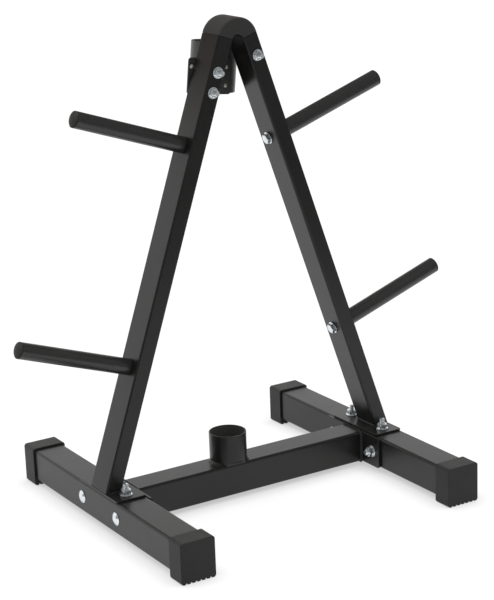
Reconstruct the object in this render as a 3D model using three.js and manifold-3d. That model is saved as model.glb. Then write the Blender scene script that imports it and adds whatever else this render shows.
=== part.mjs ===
// Weight plate tree: two feet of square tube, a cross member, two leaning legs that meet in an arch,
// four storage pegs, and a cup and a leaning sleeve that hold one long bar upright.
// Lengths are millimetres. +Z is up, the floor is z = 0, X runs across the frame and Y along the feet.

import * as THREE from 'three';
import { mergeVertices } from 'three/addons/utils/BufferGeometryUtils.js';
import Module from 'manifold-3d';

const wasm = await Module();
wasm.setup();

// Clearances, and how far a cutting shape runs past what it cuts
const seatGap = 0.3;
const holePlay = 0.25;
const overrun = 5;
const weldTolerance = 0.0001;

// Facets of round forms
const roundSegments = 32;
const pegSegments = 24;
const archSegments = 48;
const smallSegments = 12;
const domeSteps = 3;
const cornerSteps = 2;

// Square tube of the feet and the cross member
const footTubeSize = 50;
const footTubeWall = 2;
const footTubeCorner = 4;
const footTubeLength = 491;
const footSpacing = 466;
const crossDrop = 1.2;

// Moulded sleeves on the four ends of the feet
const capWall = 2.8;
const capSole = 8.7;
const capEnd = 3.4;
const capLength = 32.5;
const capCorner = 4.4;
const capGrooveCount = 6;
const capGrooveWidth = 3;
const capGrooveDepth = 2.1;
const capGroovePitch = 7.9;

// Flat steel that joins the cross member and the legs to the feet
const flangeThickness = 4;
const basePlateThickness = 3;
const boltEdge = 17.5;
const steelCorner = 4;

// Legs of rectangular tube, and the arch that joins their tops
const overallHeight = 740;
const legThickness = 25;
const legWidth = 50;
const legWall = 2;
const legCorner = 3;
const legInset = 0.5;
const archRadius = 34;
const tongueEdge = 20;

// Bolts: one thread size throughout
const boltDiameter = 8;
const boltSpacingFromLeg = 17;
const crossingGap = 4;
const domeHeadDiameter = 20;
const domeHeadHeight = 4.1;
const neckWidth = 8.5;
const hexHeadAcross = 14;
const hexHeadHeight = 5.3;
const nutAcross = 13.4;
const nutHeight = 7.8;
const washerDiameter = 19;
const topWasherDiameter = 17;
const washerThickness = 1.7;
const tipChamfer = 0.8;
const hexCrownShare = 0.95;
const crossBoltTip = 4.6;
const baseBoltTip = 8;
const topBoltTip = 4.6;

// Places of the bolts that clamp the arch in the legs, measured down the leg from its top
const rightTopBolt = 32.7;
const leftTopBolt = 52.3;
const leftTopBoltSpacing = 29.9;

// Storage pegs, square to the legs
const pegDiameter = 25;
const pegWall = 2;
const pegReach = 188.5;
const pegBoss = 11;
const pegBoltTip = 2;
const lowerPegRise = 190;
const upperPegDrop = 166;
const plugHead = 5;
const plugRim = 1.5;
const plugStem = 14;

// Cup on the cross member
const cupDiameter = 58;
const cupWall = 2;
const cupHeight = 47;
const cupFloor = 3;
const cupOffset = 30.4;

// Sleeve and its plate behind the left leg
const holderLean = THREE.MathUtils.degToRad(6.5);
const holderPlateThickness = 3;
const holderPlateCorner = 4.7;
const holderTubeDiameter = 70;
const holderTubeWall = 2.5;
const holderTubeLength = 74;
const holderTubeLift = 1.1;
const rivetColumnSpacing = 59.7;
const rivetRowSpacing = 27.5;
const rivetLeftEdge = 5.2;
const rivetRightEdge = 9.9;
const rivetEndEdge = 13.3;
const rivetStandoff = 2;
const rivetHeadDiameter = 6.5;
const rivetHeadHeight = 1.7;
const rivetShankDiameter = 3.6;
const rivetTailHeight = 1.1;

// Heights that follow from the sizes above
const railBottom = capSole + seatGap;
const railMiddle = railBottom + footTubeSize / 2;
const railTop = railBottom + footTubeSize;
const crossMiddle = railMiddle - crossDrop;
const basePlateTop = railTop + basePlateThickness;
const railX = footSpacing / 2;
const flangeInnerX = railX - footTubeSize / 2 - flangeThickness;

// Bolt spacings along Y: the base bolts clear the leg, and the flange bolts clear the base bolts
const baseBoltY = legWidth / 2 + boltSpacingFromLeg;
const flangeBoltY = baseBoltY + boltDiameter + crossingGap;

// Each leg's outer face runs from the foot to where it is tangent to the arch
const legFootX = railX + footTubeSize / 2 - legInset;
const legFootZ = basePlateTop + seatGap;
const archZ = overallHeight - archRadius;
const archRise = archZ - legFootZ;
const archReach = Math.hypot(legFootX, archRise);
const lean = Math.acos(archRadius / archReach) - Math.atan2(archRise, legFootX);
const legLength = Math.sqrt(archReach ** 2 - archRadius ** 2);

const boltHoleRadius = boltDiameter / 2 + holePlay;
const nutFaceHeight = washerThickness + nutHeight;

const sides = [
  { name: 'left', sign: -1, topBolts: [leftTopBolt, leftTopBolt + leftTopBoltSpacing] },
  { name: 'right', sign: 1, topBolts: [rightTopBolt] },
];
const ends = [
  { name: 'front', sign: -1 },
  { name: 'rear', sign: 1 },
];
const pegLevels = [
  { name: 'lower', height: lowerPegRise },
  { name: 'upper', height: legLength - upperPegDrop },
];

const finishes = {
  paint: { color: 0x3c3b3b, roughness: 0.45, metalness: 0.3 },
  moulding: { color: 0x3a3938, roughness: 0.7, metalness: 0 },
  plating: { color: 0xd4d6d8, roughness: 0.3, metalness: 0.9 },
  rivet: { color: 0xb3aca2, roughness: 0.5, metalness: 0.7 },
};

// Closed solids from three.js geometry

function solid(geometry) {
  const bare = geometry.clone();
  bare.deleteAttribute('normal');
  bare.deleteAttribute('uv');
  const merged = mergeVertices(bare, weldTolerance);
  const corners = merged.index.array;
  const kept = [];
  for (let i = 0; i < corners.length; i += 3) {
    const [a, b, c] = corners.slice(i, i + 3);
    if (a !== b && b !== c && c !== a) kept.push(a, b, c);
  }
  return new wasm.Manifold(new wasm.Mesh({
    numProp: 3,
    vertProperties: new Float32Array(merged.attributes.position.array),
    triVerts: new Uint32Array(kept),
  }));
}

function geometryOf(body) {
  const mesh = body.getMesh();
  const geometry = new THREE.BufferGeometry();
  geometry.setAttribute('position', new THREE.BufferAttribute(new Float32Array(mesh.vertProperties), 3));
  geometry.setIndex(new THREE.BufferAttribute(new Uint32Array(mesh.triVerts), 1));
  geometry.computeVertexNormals();
  return geometry;
}

function named(name, body, finish) {
  const material = new THREE.MeshStandardMaterial({ ...finishes[finish], flatShading: true });
  const mesh = new THREE.Mesh(geometryOf(body), material);
  mesh.name = name;
  return mesh;
}

function outline(width, height, corner) {
  const shape = new THREE.Shape();
  const x = width / 2 - corner;
  const y = height / 2 - corner;
  shape.absarc(x, y, corner, 0, Math.PI / 2);
  shape.absarc(-x, y, corner, Math.PI / 2, Math.PI);
  shape.absarc(-x, -y, corner, Math.PI, 1.5 * Math.PI);
  shape.absarc(x, -y, corner, 1.5 * Math.PI, 2 * Math.PI);
  return shape;
}

// A bar of rounded section, centred on the Z axis, from z = 0 up
function bar(width, height, corner, length) {
  return new THREE.ExtrudeGeometry(outline(width, height, corner), {
    depth: length,
    bevelEnabled: false,
    curveSegments: cornerSteps,
  });
}

function tube(width, height, wall, corner, length) {
  const core = bar(width - 2 * wall, height - 2 * wall, corner - wall, length + 2 * overrun);
  core.translate(0, 0, -overrun);
  return solid(bar(width, height, corner, length)).subtract(solid(core));
}

function block(width, depth, height) {
  return new THREE.BoxGeometry(width, depth, height);
}

// A form turned about the Z axis from [radius, height] pairs that run upward on its outside
function turned(profile, segments) {
  const points = profile.map(([radius, height]) => new THREE.Vector2(radius, height));
  const geometry = new THREE.LatheGeometry(points, segments);
  geometry.rotateX(Math.PI / 2);
  return geometry;
}

function rod(radius, bottom, top) {
  return turned([[0, bottom], [radius, bottom], [radius, top], [0, top]], smallSegments);
}

function ring(inner, outer, bottom, top, segments) {
  return turned([[inner, bottom], [outer, bottom], [outer, top], [inner, top], [inner, bottom]], segments);
}

// Points of a shallow dome from its rim to its crown, which stands height above the rim
function dome(radius, base, height) {
  const sphere = (radius ** 2 + height ** 2) / (2 * height);
  const spread = Math.asin(radius / sphere);
  const points = [];
  for (let step = 0; step <= domeSteps; step += 1) {
    const angle = spread * (1 - step / domeSteps);
    points.push([sphere * Math.sin(angle), base + height - sphere * (1 - Math.cos(angle))]);
  }
  return points;
}

// Fasteners: the bearing face of a head or washer is z = 0

function shank(radius, length) {
  return [[radius, length - tipChamfer], [radius - tipChamfer, length], [0, length]];
}

function carriageBolt(length) {
  const radius = boltDiameter / 2;
  const head = dome(domeHeadDiameter / 2, 0, domeHeadHeight).map(([r, z]) => [r, -z]).reverse();
  const body = solid(turned([...head, [radius, 0], ...shank(radius, length)], smallSegments));
  const buried = domeHeadHeight / 2;
  const neck = block(neckWidth, neckWidth, footTubeWall + buried);
  neck.translate(0, 0, (footTubeWall - buried) / 2);
  return body.add(solid(neck));
}

function carriageHole(length) {
  const width = neckWidth + 2 * holePlay;
  const neck = block(width, width, footTubeWall + 2 * overrun);
  neck.translate(0, 0, footTubeWall / 2);
  return solid(rod(boltHoleRadius, -overrun, length)).add(solid(neck));
}

// A hexagon of the given width across its flats, whose far end is turned to a flat cone
function hexagon(across, height) {
  const corner = across / 2 / Math.cos(Math.PI / 6);
  const prism = new THREE.CylinderGeometry(corner, corner, height, 6);
  prism.rotateX(Math.PI / 2);
  prism.translate(0, 0, height / 2);
  const slope = Math.tan(Math.PI / 6);
  const apex = height + hexCrownShare * across / 2 * slope;
  const edge = apex - across * slope;
  const cone = turned([[0, -overrun], [across, -overrun], [across, edge], [0, apex]], smallSegments);
  cone.rotateZ(Math.PI / smallSegments);
  return solid(prism).intersect(solid(cone));
}

function hexBolt(length) {
  const radius = boltDiameter / 2;
  const buried = hexHeadHeight / 2;
  const stem = turned([[0, -buried], [radius, -buried], ...shank(radius, length)], smallSegments);
  return hexagon(hexHeadAcross, hexHeadHeight).rotate([180, 0, 0]).add(solid(stem));
}

function nutOnWasher(width) {
  const washer = rod(width / 2, 0, washerThickness);
  const bore = rod(boltHoleRadius, -overrun, nutFaceHeight + overrun);
  const buried = washerThickness / 2;
  const nut = hexagon(nutAcross, nutHeight + buried).translate([0, 0, buried]);
  return nut.add(solid(washer)).subtract(solid(bore));
}

function rivet(grip) {
  const radius = rivetShankDiameter / 2;
  const head = dome(rivetHeadDiameter / 2, 0, rivetHeadHeight).map(([r, z]) => [r, -z]).reverse();
  const tailRadius = rivetHeadDiameter / 2 - rivetHeadHeight / 2;
  const tail = [[radius, grip], [tailRadius, grip], [tailRadius, grip + rivetTailHeight / 2],
    [radius, grip + rivetTailHeight], [0, grip + rivetTailHeight]];
  return solid(turned([...head, [radius, 0], ...tail], smallSegments));
}

// Feet

function footRail(side) {
  const sign = side.sign;
  let body = tube(footTubeSize, footTubeSize, footTubeWall, footTubeCorner, footTubeLength);
  body = body.translate([0, 0, -footTubeLength / 2]).rotate([90, 0, 0]);
  for (const end of ends) {
    const across = carriageHole(footTubeSize + overrun).rotate([0, -90 * sign, 0]);
    const upright = carriageHole(footTubeSize + overrun);
    body = body.subtract(across.translate([sign * footTubeSize / 2, end.sign * flangeBoltY, 0]));
    body = body.subtract(upright.translate([0, end.sign * baseBoltY, -footTubeSize / 2]));
  }
  const mesh = named(`foot_rail_${side.name}`, body, 'paint');
  mesh.position.set(sign * railX, 0, railMiddle);
  return mesh;
}

// A sleeve with a ribbed sole, closed at its outer end
function footCap(side, end) {
  const outerWidth = footTubeSize + 2 * (capWall + seatGap);
  const top = footTubeSize / 2 + seatGap + capWall;
  const bottom = -footTubeSize / 2 - railBottom;
  const outer = bar(outerWidth, top - bottom, capCorner, capLength);
  outer.translate(0, (top + bottom) / 2, 0);
  const pocketSize = footTubeSize + 2 * seatGap;
  const pocket = bar(pocketSize, pocketSize, footTubeCorner, capLength);
  pocket.translate(0, 0, -capEnd);
  let body = solid(outer).subtract(solid(pocket));
  for (let index = 0; index < capGrooveCount; index += 1) {
    const groove = block(capGrooveWidth, 2 * capGrooveDepth, capLength + 2 * overrun);
    groove.translate((index - (capGrooveCount - 1) / 2) * capGroovePitch, bottom, capLength / 2);
    body = body.subtract(solid(groove));
  }
  const mesh = named(`foot_cap_${side.name}_${end.name}`, body.rotate([90, 0, 0]), 'moulding');
  const outerY = footTubeLength / 2 + seatGap + capEnd;
  mesh.position.set(side.sign * railX, end.sign * (outerY - capLength), railMiddle);
  mesh.rotation.z = end.sign > 0 ? Math.PI : 0;
  return mesh;
}

function basePlate(side) {
  const plate = bar(footTubeSize, 2 * (baseBoltY + boltEdge), steelCorner, basePlateThickness);
  let body = solid(plate);
  for (const end of ends) {
    const hole = rod(boltHoleRadius, -overrun, basePlateThickness + overrun);
    hole.translate(0, end.sign * baseBoltY, 0);
    body = body.subtract(solid(hole));
  }
  const mesh = named(`base_plate_${side.name}`, body, 'paint');
  mesh.position.set(side.sign * railX, 0, railTop);
  return mesh;
}

function baseFasteners(side, end) {
  const length = footTubeSize + basePlateThickness + nutFaceHeight + baseBoltTip;
  const bolt = named(`base_bolt_${side.name}_${end.name}`, carriageBolt(length), 'plating');
  bolt.position.set(side.sign * railX, end.sign * baseBoltY, railBottom);
  const nut = named(`base_nut_${side.name}_${end.name}`, nutOnWasher(washerDiameter), 'plating');
  nut.position.set(side.sign * railX, end.sign * baseBoltY, basePlateTop);
  return [bolt, nut];
}

// Cross member

function crossTube() {
  const length = 2 * flangeInnerX;
  const body = tube(footTubeSize, footTubeSize, footTubeWall, footTubeCorner, length);
  const mesh = named('cross_tube', body.translate([0, 0, -length / 2]).rotate([0, 90, 0]), 'paint');
  mesh.position.z = crossMiddle;
  return mesh;
}

function flange(side) {
  const plate = bar(footTubeSize, 2 * (flangeBoltY + boltEdge), steelCorner, flangeThickness);
  let body = solid(plate);
  for (const end of ends) {
    const hole = rod(boltHoleRadius, -overrun, flangeThickness + overrun);
    hole.translate(0, end.sign * flangeBoltY, 0);
    body = body.subtract(solid(hole));
  }
  const mesh = named(`flange_${side.name}`, body, 'paint');
  mesh.position.set(side.sign * flangeInnerX, 0, railMiddle);
  mesh.rotation.y = side.sign * Math.PI / 2;
  return mesh;
}

function flangeFasteners(side, end) {
  const length = footTubeSize + flangeThickness + nutFaceHeight + crossBoltTip;
  const bolt = named(`cross_bolt_${side.name}_${end.name}`, carriageBolt(length), 'plating');
  bolt.position.set(side.sign * (railX + footTubeSize / 2), end.sign * flangeBoltY, railMiddle);
  const nut = named(`cross_nut_${side.name}_${end.name}`, nutOnWasher(washerDiameter), 'plating');
  nut.position.set(side.sign * flangeInnerX, end.sign * flangeBoltY, railMiddle);
  for (const mesh of [bolt, nut]) mesh.rotation.y = -side.sign * Math.PI / 2;
  return [bolt, nut];
}

function barCup() {
  const outer = cupDiameter / 2;
  const inner = outer - cupWall;
  const profile = [[0, 0], [outer, 0], [outer, cupHeight], [inner, cupHeight],
    [inner, cupFloor], [0, cupFloor]];
  const mesh = named('bar_cup', solid(turned(profile, roundSegments)), 'paint');
  mesh.position.set(-cupOffset, 0, crossMiddle + footTubeSize / 2);
  return mesh;
}

// Legs. A leg's own frame stands at its outer bottom corner, with +Z up the leg, and its tube lies
// on the side of the frame's centre.

function legFrame(side) {
  const frame = new THREE.Group();
  frame.position.set(side.sign * legFootX, 0, legFootZ);
  frame.rotation.y = -side.sign * lean;
  frame.updateMatrixWorld();
  return frame;
}

function legMiddle(side) {
  return -side.sign * legThickness / 2;
}

function leg(side) {
  let body = tube(legThickness, legWidth, legWall, legCorner, legLength - seatGap);
  body = body.translate([legMiddle(side), 0, 0]);
  const footCut = block(2 * (legThickness + overrun), legWidth + 2 * overrun, 2 * legThickness);
  footCut.translate(0, 0, -legThickness);
  footCut.rotateY(side.sign * lean);
  body = body.subtract(solid(footCut));
  for (const level of pegLevels) {
    const hole = rod(boltHoleRadius, -legThickness, legThickness);
    hole.rotateY(Math.PI / 2);
    hole.translate(legMiddle(side), 0, level.height);
    body = body.subtract(solid(hole));
  }
  for (const drop of side.topBolts) body = body.subtract(topBoltHole(side, drop));
  return named(`leg_${side.name}`, body, 'paint');
}

function topBoltHole(side, drop) {
  const hole = rod(boltHoleRadius, -legWidth, legWidth);
  hole.rotateX(Math.PI / 2);
  hole.translate(legMiddle(side), 0, legLength - drop);
  return solid(hole);
}

// Half a ring of the legs' section, with a tongue in the bore of each leg
function archJoint(frames) {
  const inner = archRadius - legThickness;
  const section = outline(legThickness, legWidth, legCorner).getPoints(cornerSteps);
  section.push(section[0].clone());
  for (const point of section) point.x += inner + legThickness / 2;
  let body = solid(new THREE.LatheGeometry(section, archSegments)).translate([0, 0, archZ]);
  for (const side of sides) {
    const size = archRadius + overrun;
    const below = block(2 * size, legWidth + 2 * overrun, size);
    below.translate(0, 0, legLength - size / 2);
    below.translate(-side.sign * archRadius, 0, 0);
    body = body.subtract(inLeg(below, frames[side.name]));
  }
  for (const side of sides) {
    body = body.add(archTongue(side, frames[side.name]));
    for (const drop of side.topBolts) {
      body = body.subtract(topBoltHole(side, drop).transform(frames[side.name].matrixWorld.elements));
    }
  }
  return named('arch_joint', body, 'moulding');
}

function archTongue(side, frame) {
  const fit = 2 * (legWall + seatGap);
  const length = Math.max(...side.topBolts) + tongueEdge;
  const tongue = bar(legThickness - fit, legWidth - fit, legCorner - legWall, length + legWall);
  tongue.translate(legMiddle(side), 0, legLength - length);
  return inLeg(tongue, frame);
}

function inLeg(geometry, frame) {
  return solid(geometry.applyMatrix4(frame.matrixWorld));
}

function topFasteners(side, drop, label) {
  const behind = side.sign < 0 ? seatGap + holderPlateThickness : 0;
  const headY = legWidth / 2 + behind + seatGap;
  const nutY = -legWidth / 2 - seatGap;
  const length = headY - nutY + nutFaceHeight + topBoltTip;
  const bolt = named(`top_bolt_${label}`, hexBolt(length), 'plating');
  bolt.position.set(legMiddle(side), headY, legLength - drop);
  const nut = named(`top_nut_${label}`, nutOnWasher(topWasherDiameter), 'plating');
  nut.position.set(legMiddle(side), nutY, legLength - drop);
  for (const mesh of [bolt, nut]) mesh.rotation.x = Math.PI / 2;
  return [bolt, nut];
}

// Pegs. The parts of a peg lie along its axis, measured outward from the leg's outer face.

function onPegAxis(mesh, side, level, distance) {
  mesh.position.set(side.sign * distance, 0, level.height);
  mesh.rotation.y = side.sign * Math.PI / 2;
  return mesh;
}

function peg(side, level) {
  const label = `${level.name}_${side.name}`;
  const outer = pegDiameter / 2;
  const inner = outer - pegWall;
  const length = pegReach - plugHead - 2 * seatGap;
  const profile = [[boltHoleRadius, 0], [outer, 0], [outer, length], [inner, length], [inner, pegBoss],
    [boltHoleRadius, pegBoss], [boltHoleRadius, 0]];
  const sleeve = named(`peg_${label}`, solid(turned(profile, pegSegments)), 'paint');

  const stem = inner - seatGap;
  const crown = dome(outer, plugRim, plugHead - plugRim);
  const plugProfile = [[0, -plugStem], [stem, -plugStem], [stem, 0], [outer, 0], ...crown];
  const plug = named(`peg_plug_${label}`, solid(turned(plugProfile, pegSegments)), 'moulding');

  const washerX = -legThickness - seatGap - washerThickness;
  const disc = ring(boltHoleRadius, washerDiameter / 2, 0, washerThickness, smallSegments);
  const washer = named(`peg_washer_${label}`, solid(disc), 'plating');

  const headX = washerX - seatGap;
  const bolt = named(`peg_bolt_${label}`, hexBolt(pegBoss + seatGap + pegBoltTip - headX), 'plating');

  return [
    onPegAxis(sleeve, side, level, seatGap),
    onPegAxis(plug, side, level, pegReach - plugHead),
    onPegAxis(washer, side, level, washerX),
    onPegAxis(bolt, side, level, headX),
  ];
}

// Sleeve for the bar. Its frame stands at the plate's upper left rivet, beside the left leg, with the
// plate's front face in the plane y = 0 and +Z up the sleeve.

function holderFrame(leftFrame) {
  const frame = new THREE.Group();
  const rivetPoint = new THREE.Vector3(-rivetStandoff, legWidth / 2 + seatGap, legLength - leftTopBolt);
  frame.position.copy(rivetPoint.applyMatrix4(leftFrame.matrixWorld));
  frame.rotation.y = holderLean;
  frame.updateMatrixWorld();
  return frame;
}

function rivetPlaces() {
  return [
    { name: 'upper_left', x: 0, z: 0, grip: holderPlateThickness },
    { name: 'upper_right', x: rivetColumnSpacing, z: 0, grip: holderTubeGrip() },
    { name: 'lower_right', x: rivetColumnSpacing, z: -rivetRowSpacing, grip: holderTubeGrip() },
  ];
}

function holderTubeGrip() {
  return holderPlateThickness + holderTubeWall + 2 * seatGap;
}

function holderPlate(frame, leftSide, leftFrame) {
  const width = rivetLeftEdge + rivetColumnSpacing + rivetRightEdge;
  const height = rivetRowSpacing + 2 * rivetEndEdge;
  const plate = bar(width, height, holderPlateCorner, holderPlateThickness);
  plate.rotateX(Math.PI / 2);
  plate.translate(width / 2 - rivetLeftEdge, holderPlateThickness, -rivetRowSpacing / 2);
  let body = solid(plate);
  const toHolder = frame.matrixWorld.clone().invert().multiply(leftFrame.matrixWorld);
  for (const drop of leftSide.topBolts) {
    body = body.subtract(topBoltHole(leftSide, drop).transform(toHolder.elements));
  }
  for (const place of rivetPlaces()) body = body.subtract(rivetHole(place));
  return named('holder_plate', body, 'paint');
}

function rivetHole(place) {
  const hole = rod(rivetShankDiameter / 2 + holePlay, -overrun, place.grip + overrun);
  hole.rotateX(-Math.PI / 2);
  hole.translate(place.x, 0, place.z);
  return solid(hole);
}

function holderTube() {
  const outer = holderTubeDiameter / 2;
  const shell = ring(outer - holderTubeWall, outer, 0, holderTubeLength, roundSegments);
  const bottom = -rivetRowSpacing - rivetEndEdge + holderTubeLift;
  const centreY = holderPlateThickness + seatGap + outer;
  shell.rotateZ(Math.PI / roundSegments);
  shell.translate(rivetColumnSpacing, centreY, bottom);
  let body = solid(shell);
  for (const place of rivetPlaces()) {
    if (place.x > 0) body = body.subtract(rivetHole(place));
  }
  return named('holder_tube', body, 'paint');
}

function holderRivet(place) {
  const mesh = named(`rivet_${place.name}`, rivet(place.grip), 'rivet');
  mesh.position.set(place.x, 0, place.z);
  mesh.rotation.x = -Math.PI / 2;
  return mesh;
}

// Assembly

const plateTree = new THREE.Group();
const frames = {};

for (const side of sides) {
  plateTree.add(footRail(side), basePlate(side), flange(side));
  for (const end of ends) {
    plateTree.add(footCap(side, end), ...baseFasteners(side, end), ...flangeFasteners(side, end));
  }
  const frame = legFrame(side);
  frames[side.name] = frame;
  frame.add(leg(side));
  for (const level of pegLevels) frame.add(...peg(side, level));
  side.topBolts.forEach((drop, index) => {
    const label = side.topBolts.length > 1 ? `${side.name}_${index + 1}` : side.name;
    frame.add(...topFasteners(side, drop, label));
  });
  plateTree.add(frame);
}

plateTree.add(crossTube(), barCup(), archJoint(frames));

const holder = holderFrame(frames.left);
holder.add(holderPlate(holder, sides[0], frames.left), holderTube(), ...rivetPlaces().map(holderRivet));
plateTree.add(holder);

export default plateTree;
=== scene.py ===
"""Visual model of a weight plate tree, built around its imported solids.

Lengths are metres in the frame of the solids: +Z up, X across the frame and Y along the feet. Each new
piece is a surface worked out with numpy, as a profile turned about an axis, a section carried along a
line, or a grid of two parameters. It stands where the solid that it replaces stands.
"""

import logging
import math
from collections.abc import Sequence
from dataclasses import dataclass, field, replace
from enum import Enum
from functools import cache

import bmesh
import bpy
import numpy as np
from mathutils import Matrix


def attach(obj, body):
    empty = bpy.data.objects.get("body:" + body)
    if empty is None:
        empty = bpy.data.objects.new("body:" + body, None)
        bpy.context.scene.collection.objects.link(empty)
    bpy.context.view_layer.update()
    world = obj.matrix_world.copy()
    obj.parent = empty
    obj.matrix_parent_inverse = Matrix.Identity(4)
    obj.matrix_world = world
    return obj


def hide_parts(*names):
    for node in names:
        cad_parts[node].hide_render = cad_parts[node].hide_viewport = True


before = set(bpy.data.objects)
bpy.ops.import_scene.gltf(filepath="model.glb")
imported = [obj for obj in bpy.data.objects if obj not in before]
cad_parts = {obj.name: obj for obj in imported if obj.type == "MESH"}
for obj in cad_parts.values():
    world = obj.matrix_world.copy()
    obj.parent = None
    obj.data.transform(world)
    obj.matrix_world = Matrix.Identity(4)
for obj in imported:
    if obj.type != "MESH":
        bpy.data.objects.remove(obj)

LOG = logging.getLogger("plate_tree")
BODY = "root"
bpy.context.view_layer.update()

Array = np.ndarray
Section = tuple[Array, Array]
Colour = tuple[float, float, float]
Socket = bpy.types.NodeSocket

LEAST_RADIUS = 1e-9
LEAST_EDGE = 1e-8
MERGE_DISTANCE = 2e-7
SMOOTH_BELOW = math.radians(33)
RIGHT_ANGLE = math.pi / 2


class Slot(Enum):
    """Material slots of the record."""

    FRAME = "frame_paint"
    SLEEVE = "sleeve_paint"
    MOULDING = "moulding"
    ZINC = "zinc"
    RIVET = "rivet_metal"


# Shapes


def unit(vectors: Array) -> Array:
    """Scales each vector of the last axis to length one."""
    return vectors / np.linalg.norm(vectors, axis=-1, keepdims=True)


def coords(*parts: Array | float) -> Array:
    """Puts coordinates side by side on a last axis, after single numbers are spread over the rest."""
    return np.stack(np.broadcast_arrays(*parts), -1)


def turn(axis: str, angle: float) -> Array:
    """Gives the matrix of a turn about one axis.

    Args:
        axis: "x", "y" or "z".
        angle: Turn in radians, by the right hand rule.

    Returns:
        A 3 by 3 matrix that turns column vectors.
    """
    return np.array(Matrix.Rotation(angle, 3, axis.upper()))


@dataclass(frozen=True)
class Place:
    """A frame of its own: a point p of it lies at axes @ p + origin."""

    origin: tuple[float, float, float] = (0.0, 0.0, 0.0)
    axes: Array = field(default_factory=lambda: np.eye(3))

    def point(self, points: Array) -> Array:
        """Moves points of this frame to the frame around it."""
        return np.asarray(points, float) @ self.axes.T + np.array(self.origin)

    def inner(self, origin: Sequence[float], axes: Array | None = None) -> "Place":
        """Gives the place of a frame that stands in this one.

        Args:
            origin: Where the inner frame stands, in this frame.
            axes: Its turn in this frame, or None where it has none.

        Returns:
            The inner frame, seen from the frame around this one.
        """
        turned = self.axes if axes is None else self.axes @ axes
        return Place(tuple(self.point(np.array(origin, float))), turned)


def filleted(corners: Sequence[Sequence[float]], steps: int) -> Section:
    """Rounds the corners of a closed polygon.

    Each corner's arc touches both of its sides: its centre lies on the bisector at radius / sin(half the
    inner angle), and its points turn evenly from one side's normal to the other's.

    Args:
        corners: Rows of x, y and corner radius, counter-clockwise.
        steps: Pieces of each arc.

    Returns:
        The points and the outward normals, each with (steps + 1) rows for a corner.
    """
    data = np.array(corners, float)
    point, radius = data[:, :2], np.maximum(data[:, 2], LEAST_RADIUS)
    back, ahead = unit(np.roll(point, 1, 0) - point), unit(np.roll(point, -1, 0) - point)
    half = np.arccos(np.clip((back * ahead).sum(1), -1, 1)) / 2
    convex = np.sign(back[:, 1] * ahead[:, 0] - back[:, 0] * ahead[:, 1])
    centre = point + unit(back + ahead) * (radius / np.sin(half))[:, None]
    first = unit(point + back * (radius / np.tan(half))[:, None] - centre)
    last = unit(point + ahead * (radius / np.tan(half))[:, None] - centre)
    spread = (math.pi - 2 * half)[:, None, None]
    share = np.linspace(0, 1, steps + 1)[None, :, None]
    arc = np.sin((1 - share) * spread) * first[:, None] + np.sin(share * spread) * last[:, None]
    arc = arc / np.sin(spread)
    points = (centre[:, None] + arc * radius[:, None, None]).reshape(-1, 2)
    return points, (arc * convex[:, None, None]).reshape(-1, 2)


def rounded_box(width: float, depth: float, radius: float, steps: int = 7) -> Section:
    """Points and outward normals of a rectangle with round corners, centred on the origin."""
    x, y = width / 2, depth / 2
    return filleted([(x, -y, radius), (x, y, radius), (-x, y, radius), (-x, -y, radius)], steps)


def profile(corners: Sequence[Sequence[float]], steps: int = 4) -> Array:
    """Rounds a closed profile of radius and height, and drops points that fall together."""
    points, _ = filleted(corners, steps)
    apart = np.linalg.norm(points - np.roll(points, 1, 0), axis=1) > LEAST_EDGE
    return points[apart]


def edge_arc(radius: float, steps: int = 4) -> tuple[Array, Array]:
    """Inset and height of a rounded edge, from the face (inset = radius, height 0) to the side."""
    angle = np.linspace(0, RIGHT_ANGLE, steps + 1)
    return radius * (1 - np.sin(angle)), radius * (1 - np.cos(angle))


def cap_arc(radius: float, height: float, rows: int, share: float = 1.0) -> tuple[Array, Array]:
    """Works out a shallow dome, the cap of a sphere of radius (radius^2 + height^2) / (2 height).

    Args:
        radius: Radius at the dome's foot.
        height: Height of the dome.
        rows: Number of points from the pole on.
        share: How much of the way to the foot the points run.

    Returns:
        The points' distances from the axis, and how far they lie below the pole.
    """
    sphere = (radius**2 + height**2) / (2 * height)
    angle = np.linspace(0, math.asin(radius / sphere) * share, rows)
    return sphere * np.sin(angle), sphere * (1 - np.cos(angle))


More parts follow.
